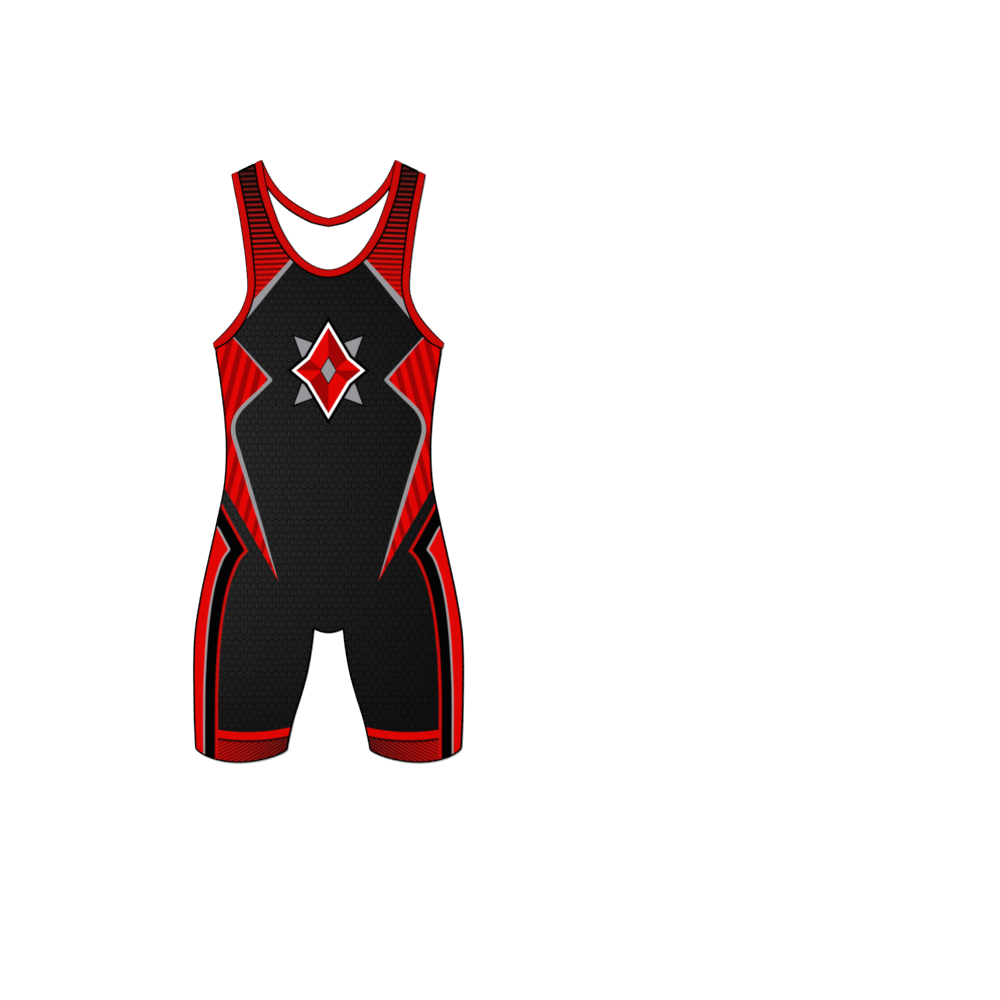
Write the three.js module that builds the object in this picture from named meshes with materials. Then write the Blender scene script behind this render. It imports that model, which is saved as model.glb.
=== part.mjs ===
// Wrestling singlet laid flat on its back panel, front up, neck towards +Y.
// Millimetres, +Z up. The origin is on the surface it lies on, under the middle of the garment.
// Tables hold the garment's right half, and the left half is its mirror image.

import * as THREE from "three";

// Cloth, binding and hem
const clothThick = 1;
const gap = 0.3; // between neighbouring pieces
const bindingThick = 1.8;
const bindingOverCloth = (bindingThick - clothThick) / 2; // on each face of the cloth
const hemHeight = 14;
const hemFold = 0.8; // what the turned-up layer adds on the inside
const hemStep = 2; // length of the slope where the turned-up layer ends

// Places that the edges share. A section of a binding strip has its free edge and its seam.
const shoulderInner = { edgeX: 93, edgeY: 421, seamX: 102.8, seamY: 416.3 };
const shoulderOuter = { edgeX: 135.5, edgeY: 400.5, seamX: 126.7, seamY: 404.8 };
const underarm = { edgeX: 160.7, edgeY: 166.2, seamX: 159.2, seamY: 158 };
const yokeCentre = { x: 0, y: 200 }; // where the yoke rows meet the body rows
const crotch = { centre: { x: 0, y: -240.5 }, corner: { x: 19.9, y: -235.2 } };
const crotchSide = { x: 187.1, y: -236 };
const hemInner = { x: 57.4, y: -404 };
const hemOuter = { x: 186.6, y: -402 };
const frontHemDrop = 18.9; // the front's hem curves down between its corners
const frontHemLean = 0.15; // and is lowest nearer to the side seam
const backHemRise = 6.5; // the back's hem arches up
const hemRoundness = 0.75; // under 1 rounds the front hem's corners

// Each row is a section of a binding strip, from the shoulder down.
const frontNeck = [
  shoulderInner,
  { edgeX: 86.3, edgeY: 384, seamX: 97, seamY: 381.5 },
  { edgeX: 76.4, edgeY: 352, seamX: 86.8, seamY: 348.5 },
  { edgeX: 63.3, edgeY: 320.2, seamX: 73.6, seamY: 315 },
  { edgeX: 44.2, edgeY: 291.6, seamX: 52.7, seamY: 284.4 },
  { edgeX: 22.8, edgeY: 274.4, seamX: 27.5, seamY: 264.6 },
  { edgeX: 0, edgeY: 268, seamX: 0, seamY: 257.7 },
];
const backNeck = [
  shoulderInner,
  { edgeX: 81.5, edgeY: 397.1, seamX: 90.5, seamY: 392 },
  { edgeX: 66.8, edgeY: 377.4, seamX: 75.2, seamY: 370.8 },
  { edgeX: 48, edgeY: 361.6, seamX: 54.5, seamY: 351.9 },
  { edgeX: 24.8, edgeY: 348.7, seamX: 28.5, seamY: 336.9 },
  { edgeX: 0, edgeY: 339.8, seamX: 0, seamY: 329.4 },
];
const frontArmhole = [
  shoulderOuter,
  { edgeX: 131.7, edgeY: 379.8, seamX: 121.6, seamY: 382 },
  { edgeX: 126.5, edgeY: 353.5, seamX: 116.1, seamY: 355.5 },
  { edgeX: 122.2, edgeY: 327.5, seamX: 111.3, seamY: 329 },
  { edgeX: 118.5, edgeY: 301.5, seamX: 107.8, seamY: 302.8 },
  { edgeX: 115.4, edgeY: 276, seamX: 105, seamY: 277 },
  { edgeX: 113.4, edgeY: 248, seamX: 103, seamY: 251 },
  { edgeX: 115, edgeY: 231.4, seamX: 105.6, seamY: 228.7 },
  { edgeX: 122.7, edgeY: 211.2, seamX: 112.6, seamY: 207.2 },
  { edgeX: 134.7, edgeY: 193.5, seamX: 123.7, seamY: 186.8 },
  { edgeX: 148.1, edgeY: 178.3, seamX: 141.3, seamY: 167.4 },
  underarm,
];
const backArmhole = [
  shoulderOuter,
  { edgeX: 114.4, edgeY: 374.5, seamX: 106.2, seamY: 380.7 },
  { edgeX: 97.6, edgeY: 349, seamX: 88.4, seamY: 354.2 },
  { edgeX: 82.8, edgeY: 321.8, seamX: 72.6, seamY: 326.4 },
  { edgeX: 71.6, edgeY: 293.3, seamX: 60.7, seamY: 296.7 },
  { edgeX: 66.8, edgeY: 264, seamX: 56, seamY: 264 },
  { edgeX: 71.8, edgeY: 241.5, seamX: 60.6, seamY: 238.2 },
  { edgeX: 83.5, edgeY: 221.8, seamX: 72.1, seamY: 214.6 },
  { edgeX: 99.5, edgeY: 205.3, seamX: 89.6, seamY: 195.2 },
  { edgeX: 118, edgeY: 190.4, seamX: 112, seamY: 180.8 },
  { edgeX: 139.5, edgeY: 178.8, seamX: 135.3, seamY: 168.4 },
  underarm,
];
const frontStrapRows = 6; // table intervals from the shoulder to the armhole's narrowest point
const backStrapRows = 5;

// The side seam from the underarm to the hem, and the inseam from the crotch to the hem.
const sideSeam = [
  seamOf(underarm),
  { x: 151.9, y: 110 },
  { x: 146.1, y: 61 },
  { x: 143.7, y: 14 },
  { x: 146.8, y: -35 },
  { x: 156.9, y: -85 },
  { x: 168.3, y: -136 },
  { x: 179.3, y: -187 },
  crotchSide,
  { x: 189.3, y: -278 },
  { x: 189.2, y: -320 },
  { x: 188.4, y: -362 },
  hemOuter,
];
const crotchRow = 8;
const inseam = [
  crotch.corner,
  { x: 23.3, y: -264 },
  { x: 29.3, y: -297 },
  { x: 38.4, y: -330 },
  { x: 48.1, y: -361 },
  { x: 54.7, y: -389 },
  hemInner,
];

// How finely the pieces are divided
const stepsPerRow = 3; // of the straps and their bindings
const yokeSteps = 2; // of the yoke and its bindings, per table row
const columns = 8; // across half of the garment
const crotchColumns = 1; // of those, the ones that end at the crotch seam
const bodyRows = 20;
const legRows = 7;
const foldSteps = 3; // round a binding's turn over the shoulder or under the arm

// Heights of the front's cloth above the surface, by place along the garment. It lies 0.3 mm over the
// back at the side seams, and higher where bindings or both hems lie between.
const overBack = clothThick + gap;
const overBindings = bindingThick + gap + bindingOverCloth;
const overHems = clothThick + hemFold + gap + hemFold;
const underarmRise = { from: 120, to: 152 };
const hemRise = { from: -350, to: -374 };

// Slack between the panels, and the soft low folds of the front
const slack = 0.9;
const slackEdge = 55; // from a seam to where the slack is full
const slackTop = { full: 190, none: 330 };
const folds = [
  { x: -62, y: 96, long: 150, wide: 26, high: 0.6, turn: 24 },
  { x: 70, y: 58, long: 130, wide: 24, high: 0.5, turn: -32 },
  { x: -30, y: -70, long: 160, wide: 30, high: 0.6, turn: 12 },
  { x: 44, y: -128, long: 140, wide: 26, high: 0.5, turn: -48 },
  { x: -74, y: -176, long: 120, wide: 24, high: 0.5, turn: 50 },
  { x: 112, y: -286, long: 110, wide: 26, high: 0.45, turn: -10 },
  { x: -116, y: -318, long: 120, wide: 24, high: 0.45, turn: 8 },
];

// The binding's section, from the seam (0) to the free edge (1) across, up from its inner face.
const bindingSection = [
  { across: 0, up: 0 },
  { across: 1, up: 0 },
  { across: 1, up: 0.6 * bindingThick },
  { across: 0.8, up: bindingThick },
  { across: 0.2, up: bindingThick },
  { across: 0, up: 0.6 * bindingThick },
];

const { lerp, clamp, smoothstep, degToRad } = THREE.MathUtils;

function edgeOf(section) {
  return new THREE.Vector2(section.edgeX, section.edgeY);
}

function seamOf(section) {
  return new THREE.Vector2(section.seamX, section.seamY);
}

// A plan curve through points, as a function of 0 to 1 along it.
// A curve that ends on the centre line crosses it smoothly when its mirror image follows on.
function curveThrough(points, crossesCentre = false) {
  const path = points.map((p) => new THREE.Vector2(p.x, p.y));
  const intervals = path.length - 1;
  if (crossesCentre) {
    const before = path[intervals - 1];
    path.push(new THREE.Vector2(-before.x, before.y));
  }
  const spline = new THREE.SplineCurve(path);
  return (t) => spline.getPoint((t * intervals) / (path.length - 1));
}

function stretch(curve, from, to) {
  return (t) => curve(lerp(from, to, t));
}

function line(a, b) {
  return (t) => new THREE.Vector2(lerp(a.x, b.x, t), lerp(a.y, b.y, t));
}

// The edge and seam curves of one binding strip.
function stripOf(rows, crossesCentre = false) {
  return {
    edge: curveThrough(rows.map(edgeOf), crossesCentre),
    seam: curveThrough(rows.map(seamOf), crossesCentre),
  };
}

function evenSteps(count) {
  return Array.from({ length: count + 1 }, (_, i) => i / count);
}

// A grid of plan points between four edges that meet at the corners, at the given shares of each way.
function fill({ top, bottom, left, right }, acrossShares, downShares) {
  return downShares.map((v) =>
    acrossShares.map((u) => {
      const down = line(top(u), bottom(u))(v);
      const across = line(left(v), right(v))(u);
      const corners = line(line(left(0), right(0))(u), line(left(1), right(1))(u))(v);
      return down.add(across).sub(corners);
    }),
  );
}

// The cells between a grid's points. Each corner knows how much of the hem's fold lies on it.
function cellsOf(grid, foldedShare = () => 0) {
  const cells = [];
  for (let row = 1; row < grid.length; row += 1) {
    for (let column = 1; column < grid[row].length; column += 1) {
      const corner = (r, c) => ({ x: grid[r][c].x, y: grid[r][c].y, folded: foldedShare(r) });
      cells.push([
        corner(row, column - 1),
        corner(row, column),
        corner(row - 1, column),
        corner(row - 1, column - 1),
      ]);
    }
  }
  return cells;
}

function mirroredCell(cell) {
  return cell.map((p) => ({ ...p, x: -p.x })).reverse();
}

// A closed wall over cells: every plan point at two heights, and a rim along each free edge.
function wallGeometry(cells, lowAt, highAt) {
  const numbers = new Map();
  const points = [];
  const numberOf = (p) => {
    const key = `${Math.round(p.x * 1000)},${Math.round(p.y * 1000)}`;
    if (!numbers.has(key)) {
      numbers.set(key, points.length);
      points.push(p);
    }
    return numbers.get(key);
  };
  const triangles = [];
  for (const cell of cells) {
    const [a, b, c, d] = cell.map(numberOf);
    triangles.push([a, b, c], [a, c, d]);
  }
  const directed = new Set(triangles.flatMap(([a, b, c]) => [`${a}>${b}`, `${b}>${c}`, `${c}>${a}`]));
  const count = points.length;
  const index = [];
  for (const [a, b, c] of triangles) {
    index.push(a + count, b + count, c + count, c, b, a);
    for (const [from, to] of [[a, b], [b, c], [c, a]]) {
      if (!directed.has(`${to}>${from}`)) {
        index.push(from, to, to + count, from, to + count, from + count);
      }
    }
  }
  const position = [
    ...points.flatMap((p) => [p.x, p.y, lowAt(p)]),
    ...points.flatMap((p) => [p.x, p.y, highAt(p)]),
  ];
  return geometryOf(position, index);
}

// A closed ring of equal sections, each a list of points.
function ringGeometry(sections) {
  const around = sections[0].length;
  const index = [];
  sections.forEach((_, i) => {
    const next = (i + 1) % sections.length;
    for (let j = 0; j < around; j += 1) {
      const k = (j + 1) % around;
      const [a, b, c, d] = [i * around + j, i * around + k, next * around + k, next * around + j];
      index.push(a, b, c, a, c, d);
    }
  });
  const position = sections.flat().flatMap((p) => [p.x, p.y, p.z]);
  return outward(geometryOf(position, index));
}

function geometryOf(position, index) {
  const geometry = new THREE.BufferGeometry();
  geometry.setAttribute("position", new THREE.Float32BufferAttribute(position, 3));
  geometry.setIndex(index);
  geometry.computeVertexNormals();
  return geometry;
}

// The same closed surface with its faces turned to point out.
function outward(geometry) {
  const at = geometry.getAttribute("position");
  const index = [...geometry.getIndex().array];
  const corner = (i) => new THREE.Vector3().fromBufferAttribute(at, index[i]);
  let volume = 0;
  for (let i = 0; i < index.length; i += 3) {
    volume += corner(i).dot(corner(i + 1).cross(corner(i + 2)));
  }
  if (volume < 0) {
    geometry.setIndex(index.reverse());
    geometry.computeVertexNormals();
  }
  return geometry;
}

// The curves that the pieces share
const frontStrips = { neck: stripOf(frontNeck, true), armhole: stripOf(frontArmhole) };
const backStrips = { neck: stripOf(backNeck), armhole: stripOf(backArmhole) };
const sideCurve = curveThrough(sideSeam);
const inseamCurve = curveThrough(inseam);
const crotchShare = crotchRow / (sideSeam.length - 1);

// How far out curves that run down the garment are at a level.
function widthLookup(curves) {
  const samples = curves.flatMap((curve) => evenSteps(120).map(curve));
  samples.sort((a, b) => b.y - a.y);
  return (y) => {
    const below = samples.findIndex((p) => p.y <= y);
    if (below <= 0) return samples[below < 0 ? samples.length - 1 : 0].x;
    const [high, low] = [samples[below - 1], samples[below]];
    return lerp(low.x, high.x, (y - low.y) / Math.max(high.y - low.y, 1e-6));
  };
}

const halfWidthAt = widthLookup([frontStrips.armhole.seam, sideCurve]);
const inseamAt = widthLookup([inseamCurve]);

// How far a point is from the crotch seam or the inseam.
function innerDistance(x, y) {
  if (y < crotch.corner.y) return Math.max(0, Math.abs(x) - inseamAt(y));
  return Math.hypot(Math.max(0, Math.abs(x) - crotch.corner.x), y - crotch.corner.y);
}

function foldHeight(x, y) {
  return folds.reduce((sum, fold) => {
    const turn = degToRad(fold.turn);
    const along = (x - fold.x) * Math.sin(turn) + (y - fold.y) * Math.cos(turn);
    const across = (x - fold.x) * Math.cos(turn) - (y - fold.y) * Math.sin(turn);
    const spread = ((2 * along) / fold.long) ** 2 + ((2 * across) / fold.wide) ** 2;
    return sum + fold.high * Math.exp(-spread);
  }, 0);
}

// The inner face of the front's cloth: level at its seams, with slack and folds between them.
function frontInside(x, y) {
  const nearArms = smoothstep(y, underarmRise.from, underarmRise.to);
  const nearHems = smoothstep(-y, -hemRise.from, -hemRise.to);
  const level = lerp(lerp(overBack, overBindings, nearArms), overHems, nearHems);
  const inFromSide = smoothstep(halfWidthAt(y) - Math.abs(x), 0, slackEdge);
  const inFromInner = smoothstep(innerDistance(x, y), 0, slackEdge);
  const high = 1 - smoothstep(y, slackTop.full, slackTop.none);
  return level + inFromSide * inFromInner * high * (slack + foldHeight(x, y));
}

// Between the bindings the shoulder seam draws the front down onto the back.
const seamDraw = { reach: 14, depth: overBindings - overBack };
function shoulderDraw(x, y) {
  const outer = seamOf(shoulderOuter);
  const along = seamOf(shoulderInner).sub(outer);
  const width = along.length();
  along.normalize();
  const from = new THREE.Vector2(Math.abs(x), y).sub(outer);
  const share = clamp(from.dot(along) / width, 0, 1);
  const distance = Math.abs(from.cross(along));
  return seamDraw.depth * 4 * share * (1 - share) * (1 - smoothstep(distance, 0, seamDraw.reach));
}

// The grids of one panel: strap, yoke, body and leg of its right half.
function panelCells({ neck, armhole, strapRows, yokeRows, hem }) {
  const narrowest = strapRows / (strapRows + yokeRows);
  const chest = neck.seam(1);
  const narrow = armhole.seam(narrowest);
  const across = evenSteps(columns);
  const crotchPart = crotchColumns / columns;
  const crotchLine = line(crotch.centre, crotch.corner);
  const legTop = line(crotch.corner, crotchSide);
  const bodyBottom = (u) =>
    u <= crotchPart ? crotchLine(u / crotchPart) : legTop((u - crotchPart) / (1 - crotchPart));
  const strap = fill(
    {
      top: line(seamOf(shoulderInner), seamOf(shoulderOuter)),
      bottom: line(chest, narrow),
      left: neck.seam,
      right: stretch(armhole.seam, 0, narrowest),
    },
    across,
    evenSteps(strapRows * stepsPerRow),
  );
  const yoke = fill(
    {
      top: line(chest, narrow),
      bottom: line(yokeCentre, seamOf(underarm)),
      left: line(chest, yokeCentre),
      right: stretch(armhole.seam, narrowest, 1),
    },
    across,
    evenSteps(yokeRows * yokeSteps),
  );
  const body = fill(
    {
      top: line(yokeCentre, seamOf(underarm)),
      bottom: bodyBottom,
      left: line(yokeCentre, crotch.centre),
      right: stretch(sideCurve, 0, crotchShare),
    },
    across,
    evenSteps(bodyRows),
  );
  const legLength = crotch.corner.y - hemInner.y;
  const aboveHem = 1 - (hemHeight + hemStep) / legLength;
  const legShares = evenSteps(legRows).map((share) => share * aboveHem);
  legShares.push(1 - hemHeight / legLength, 1);
  const leg = fill(
    {
      top: legTop,
      bottom: hem,
      left: inseamCurve,
      right: stretch(sideCurve, crotchShare, 1),
    },
    evenSteps(columns - crotchColumns),
    legShares,
  );
  const cells = [
    ...cellsOf(strap),
    ...cellsOf(yoke),
    ...cellsOf(body),
    ...cellsOf(leg, (row) => (row > legRows ? 1 : 0)),
  ];
  return [...cells, ...cells.map(mirroredCell)];
}

function frontHem(u) {
  const lean = 1 + frontHemLean * (2 * u - 1);
  const bow = lean * (1 - (2 * u - 1) ** 2) ** hemRoundness;
  return line(hemInner, hemOuter)(u).add(new THREE.Vector2(0, -frontHemDrop * bow));
}

function backHem(u) {
  const bow = 1 - (2 * u - 1) ** 2;
  return line(hemInner, hemOuter)(u).add(new THREE.Vector2(0, backHemRise * bow));
}

// A binding's sections along a strip. The inner face is at insideAt, and the rest is up or down of it.
function stripSections({ edge, seam }, shares, insideAt, facing) {
  return shares.map((t) => {
    const seamPoint = seam(t);
    const edgePoint = edge(t);
    const start = gap / seamPoint.distanceTo(edgePoint);
    const inside = insideAt(seamPoint);
    return bindingSection.map(({ across, up }) => {
      const p = line(seamPoint, edgePoint)(lerp(start, 1, across));
      return new THREE.Vector3(p.x, p.y, inside + facing * up);
    });
  });
}

// The sections that turn a strip over an edge of the garment, from the front's layer to the back's.
function turnSections(fromSection, toSection, outwardWay) {
  const axisHeight = (fromSection[0].z + toSection[0].z) / 2;
  const steps = evenSteps(foldSteps).slice(1, -1);
  return steps.map((share) =>
    fromSection.map((from, i) => {
      const reach = lerp(from.z - axisHeight, axisHeight - toSection[i].z, share);
      const angle = Math.PI * share;
      return new THREE.Vector3(
        lerp(from.x, toSection[i].x, share) + outwardWay.x * reach * Math.sin(angle),
        lerp(from.y, toSection[i].y, share) + outwardWay.y * reach * Math.sin(angle),
        axisHeight + reach * Math.cos(angle),
      );
    }),
  );
}

function squareTo(a, b) {
  return new THREE.Vector2(b.y - a.y, a.x - b.x).normalize();
}

const overShoulder = squareTo(edgeOf(shoulderInner), edgeOf(shoulderOuter)).negate();
const underArm = squareTo(seamOf(underarm), edgeOf(underarm));
const frontBindingInside = (p) => frontInside(p.x, p.y) - bindingOverCloth;
const backBindingInside = () => bindingThick;

// One step per section, as finely as the panels' own edges.
function armholeShares(strapRows, yokeRows) {
  const narrowest = strapRows / (strapRows + yokeRows);
  const strap = evenSteps(strapRows * stepsPerRow).map((t) => t * narrowest);
  const yoke = evenSteps(yokeRows * yokeSteps).map((t) => lerp(narrowest, 1, t));
  return [...strap, ...yoke.slice(1)];
}

const frontYokeRows = frontArmhole.length - 1 - frontStrapRows;
const backYokeRows = backArmhole.length - 1 - backStrapRows;

function neckSections() {
  const frontShares = evenSteps(frontStrapRows * stepsPerRow).reverse();
  const backShares = evenSteps(backStrapRows * stepsPerRow);
  const front = stripSections(frontStrips.neck, frontShares, frontBindingInside, 1);
  const back = stripSections(backStrips.neck, backShares, backBindingInside, -1);
  const half = [...front, ...turnSections(front.at(-1), back[0], overShoulder), ...back];
  const other = half.slice(1, -1).reverse().map(mirroredSection);
  return [...half, ...other];
}

function armholeSections() {
  const frontShares = armholeShares(frontStrapRows, frontYokeRows).reverse();
  const backShares = armholeShares(backStrapRows, backYokeRows);
  const front = stripSections(frontStrips.armhole, frontShares, frontBindingInside, 1);
  const back = stripSections(backStrips.armhole, backShares, backBindingInside, -1);
  return [
    ...front,
    ...turnSections(front.at(-1), back[0], overShoulder),
    ...back,
    ...turnSections(front[0], back.at(-1), underArm).reverse(),
  ];
}

function mirroredSection(section) {
  return section.map((p) => new THREE.Vector3(-p.x, p.y, p.z));
}

// Finishes
const printedKnit = new THREE.MeshStandardMaterial({ color: 0x1b1c1d, roughness: 0.62, metalness: 0 });
const bindingKnit = new THREE.MeshStandardMaterial({ color: 0xd60c0a, roughness: 0.58, metalness: 0 });

const singlet = new THREE.Group();
singlet.name = "wrestling_singlet";

function addPiece(name, geometry, material) {
  const mesh = new THREE.Mesh(geometry, material);
  mesh.name = name;
  singlet.add(mesh);
}

const backCells = panelCells({
  ...backStrips,
  strapRows: backStrapRows,
  yokeRows: backYokeRows,
  hem: backHem,
});
const backTop = (p) => clothThick + hemFold * p.folded;
addPiece("back_panel", wallGeometry(backCells, () => 0, backTop), printedKnit);

const frontCells = panelCells({
  ...frontStrips,
  strapRows: frontStrapRows,
  yokeRows: frontYokeRows,
  hem: frontHem,
});
const frontCloth = (p) => frontInside(p.x, p.y) - shoulderDraw(p.x, p.y);
const frontLow = (p) => frontCloth(p) - hemFold * p.folded;
const frontHigh = (p) => frontCloth(p) + clothThick;
addPiece("front_panel", wallGeometry(frontCells, frontLow, frontHigh), printedKnit);

addPiece("neck_binding", ringGeometry(neckSections()), bindingKnit);
const armhole = armholeSections();
addPiece("armhole_binding_right", ringGeometry(armhole), bindingKnit);
addPiece("armhole_binding_left", ringGeometry(armhole.map(mirroredSection)), bindingKnit);

export default singlet;
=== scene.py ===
import math

import bpy
import numpy as np
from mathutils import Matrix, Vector


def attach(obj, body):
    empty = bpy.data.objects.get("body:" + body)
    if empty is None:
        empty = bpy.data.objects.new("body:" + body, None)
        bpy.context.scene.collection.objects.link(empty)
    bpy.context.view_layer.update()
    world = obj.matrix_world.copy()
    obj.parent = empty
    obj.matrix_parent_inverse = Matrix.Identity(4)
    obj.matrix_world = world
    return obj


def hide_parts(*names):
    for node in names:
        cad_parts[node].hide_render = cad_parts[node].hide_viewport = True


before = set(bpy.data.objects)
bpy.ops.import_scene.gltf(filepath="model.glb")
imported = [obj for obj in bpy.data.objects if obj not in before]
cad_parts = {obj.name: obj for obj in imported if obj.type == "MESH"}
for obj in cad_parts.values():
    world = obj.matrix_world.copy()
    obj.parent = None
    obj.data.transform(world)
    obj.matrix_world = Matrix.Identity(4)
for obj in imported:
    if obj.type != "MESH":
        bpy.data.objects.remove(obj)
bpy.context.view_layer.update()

# All tables are in millimetres. They hold the garment's right half, and the left half is its mirror image.
millimetre = 0.001

# Camera, light and floor
view = {
    "centre": (0.24, -0.0542),  # what the middle of the picture looks at, in metres
    "width": 1.4,  # metres across the picture
    "lens": 100,
    "sensor": 36,
}
studio = {
    "sky": 0.45,
    "key": {"place": (-1.5, 1.8, 6.6), "size": 5, "power": 560},
    "level": 1.35,  # how bright a white sheet of paper is
    "sheen": 0.0008,  # what the knit's gloss adds to a colour
    "floorColour": (0.95, 0.95, 0.95, 1),
    "floorSize": 8,
    "floorDrop": 0.0003,
}


def setStage():
    scene = bpy.context.scene
    scene.view_settings.view_transform = "Standard"
    camera = bpy.data.cameras.new("camera")
    camera.lens = view["lens"]
    camera.sensor_width = view["sensor"]
    camera.sensor_fit = "HORIZONTAL"
    camera.clip_end = 50
    holder = bpy.data.objects.new("camera", camera)
    scene.collection.objects.link(holder)
    height = view["width"] * view["lens"] / view["sensor"]
    holder.location = (*view["centre"], height)
    scene.camera = holder

    world = bpy.data.worlds.new("studio")
    world.use_nodes = True
    world.node_tree.nodes["Background"].inputs["Color"].default_value = (1, 1, 1, 1)
    world.node_tree.nodes["Background"].inputs["Strength"].default_value = studio["sky"]
    scene.world = world

    key = bpy.data.lights.new("key", "AREA")
    key.size = studio["key"]["size"]
    key.energy = studio["key"]["power"]
    lamp = bpy.data.objects.new("key", key)
    lamp.location = studio["key"]["place"]
    aim = Vector((0, 0, 0)) - lamp.location
    lamp.rotation_euler = aim.to_track_quat("-Z", "Y").to_euler()
    scene.collection.objects.link(lamp)

    half = studio["floorSize"] / 2
    down = -studio["floorDrop"]
    mesh = bpy.data.meshes.new("floor")
    corners = [(-half, -half, down), (half, -half, down), (half, half, down), (-half, half, down)]
    mesh.from_pydata(corners, [], [(0, 1, 2, 3)])
    floor = bpy.data.objects.new("floor", mesh)
    scene.collection.objects.link(floor)
    paper = bpy.data.materials.new("paper")
    paper.use_nodes = True
    shader = paper.node_tree.nodes["Principled BSDF"]
    shader.inputs["Base Color"].default_value = studio["floorColour"]
    shader.inputs["Roughness"].default_value = 0.9
    shader.inputs["Specular IOR Level"].default_value = 0.1
    mesh.materials.append(paper)


setStage()
print("stage: camera, light and floor")

# The cut. A binding's sections are (edge x, edge y, seam x, seam y), from the shoulder down.
shoulderInner = (93, 421, 102.8, 416.3)
shoulderOuter = (135.5, 400.5, 126.7, 404.8)
underarm = (160.7, 166.2, 159.2, 158)
yokeCentre = (0, 200)
crotchCentre, crotchCorner, crotchSide = (0, -240.5), (19.9, -235.2), (187.1, -236)
hemInner, hemOuter = (57.4, -404), (186.6, -402)
frontNeck = [
    shoulderInner,
    (86.3, 384, 97, 381.5),
    (76.4, 352, 86.8, 348.5),
    (63.3, 320.2, 73.6, 315),
    (44.2, 291.6, 52.7, 284.4),
    (22.8, 274.4, 27.5, 264.6),
    (0, 268, 0, 257.7),
]
backNeck = [
    shoulderInner,
    (81.5, 397.1, 90.5, 392),
    (66.8, 377.4, 75.2, 370.8),
    (48, 361.6, 54.5, 351.9),
    (24.8, 348.1, 28.5, 336.8),
    (12.4, 343, 14.2, 332.2),
    (0, 339.9, 0, 329.5),
]
frontArmhole = [
    shoulderOuter,
    (131.7, 379.8, 121.6, 382),
    (126.5, 353.5, 116.1, 355.5),
    (122.2, 327.5, 111.3, 329),
    (118.5, 301.5, 107.8, 302.8),
    (115.4, 276, 105, 277),
    (113.4, 248, 103, 251),
    (115, 231.4, 105.6, 228.7),
    (122.7, 211.2, 112.6, 207.2),
    (134.7, 193.5, 123.7, 186.8),
    (148.1, 178.3, 141.3, 167.4),
    underarm,
]
backArmhole = [
    shoulderOuter,
    (114.4, 374.5, 106.2, 380.7),
    (97.6, 349, 88.4, 354.2),
    (82.8, 321.8, 72.6, 326.4),
    (71.6, 293.3, 60.7, 296.7),
    (66.8, 264, 56, 264),
    (71.8, 241.5, 60.6, 238.2),
    (83.5, 221.8, 72.1, 214.6),
    (99.5, 205.3, 89.6, 195.2),
    (118, 190.4, 112, 180.8),
    (139.5, 178.8, 135.3, 168.4),
    underarm,
]
sideSeam = [
    underarm[2:],
    (151.9, 110),
    (146.1, 61),
    (143.7, 14),
    (146.8, -35),
    (156.9, -85),
    (168.3, -136),
    (179.3, -187),
    crotchSide,
    (189.3, -278),
    (189.2, -320),
    (188.4, -362),
    hemOuter,
]
inseam = [
    crotchCorner,
    (23.3, -264),
    (29.3, -297),
    (38.4, -330),
    (48.1, -361),
    (54.7, -389),
    hemInner,
]
crotchShare = 8 / 12  # of the side seam, down to the crotch's level
# Where the strap ends along the armhole, and how the hem bows between its corners
frontCut = {"strapShare": 6 / 11, "hemDrop": 18.9, "hemRound": 0.75, "hemLean": 0.15}
backCut = {"strapShare": 5 / 11, "hemDrop": -6.5, "hemRound": 1, "hemLean": 0}

cloth = {
    "thick": 0.9,
    "solidThick": 1,
    "gap": 0.3,
    "hemHeight": 14,
    "hemFold": 0.8,
    "hemStep": 2,
    "hemRidge": 0.12,  # how far the turned-up layer shows through
    "columns": 56,  # across half of the garment
    "crotchColumns": 7,
    "strapRows": 46,
    "yokeRows": 40,
    "bodyRows": 150,
    "legRows": 52,
    "hemRows": 8,
}
binding = {
    "thick": 1.8,
    "wide": 10.5,
    "overCloth": 0.4,
    "lap": 0.5,  # how far it laps over the cloth's edge
    "proud": 0.65,  # how far its soft fold stands past the free edge
    "step": 1.9,  # between its sections
    "turnSteps": 9,
    "turnReach": 0.8,  # 1 turns over an edge in a half circle
    "innerPoints": 9,  # of the profile, on the side towards the cloth
    "innerFrom": 0.03,
    "crownPoints": 21,
    "crownFrom": 0.32,
    "leastRise": 0.28,  # at the profile's edges, as a share of its thickness
    "edgeSquareness": 4.5,
    "stitchRows": (0.34, 0.66),
    "channel": 0.16,  # how deep the stitches draw it in
    "channelWidth": 0.075,
    "pucker": 0.07,
    "puckerPitch": 4.1,
}
overBack = cloth["solidThick"] + cloth["gap"]
overBindings = binding["thick"] + cloth["gap"] + binding["overCloth"]
overHems = cloth["solidThick"] + cloth["hemFold"] + cloth["gap"] + cloth["hemFold"]


def curveThrough(points, crossesCentre=False):
    path = np.array(points, float)
    intervals = len(path) - 1
    if crossesCentre:
        path = np.vstack([path, path[-2] * (-1, 1)])
    padded = np.vstack([path[0], path, path[-1]])

    def at(t):
        along = np.clip(np.asarray(t, float), 0, 1) * intervals
        k = np.minimum(along.astype(int), intervals - 1)
        w = (along - k)[..., None]
        p0, p1, p2, p3 = (padded[k + i] for i in range(4))
        slopeIn, slopeOut = (p2 - p0) / 2, (p3 - p1) / 2
        cubic = 2 * p1 - 2 * p2 + slopeIn + slopeOut
        square = 3 * p2 - 3 * p1 - 2 * slopeIn - slopeOut
        return ((cubic * w + square) * w + slopeIn) * w + p1

    return at


def line(a, b):
    a, b = np.asarray(a, float), np.asarray(b, float)
    return lambda t: a + (b - a) * np.asarray(t, float)[..., None]


def stretch(curve, start, end):
    return lambda t: curve(start + (end - start) * np.asarray(t, float))


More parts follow.
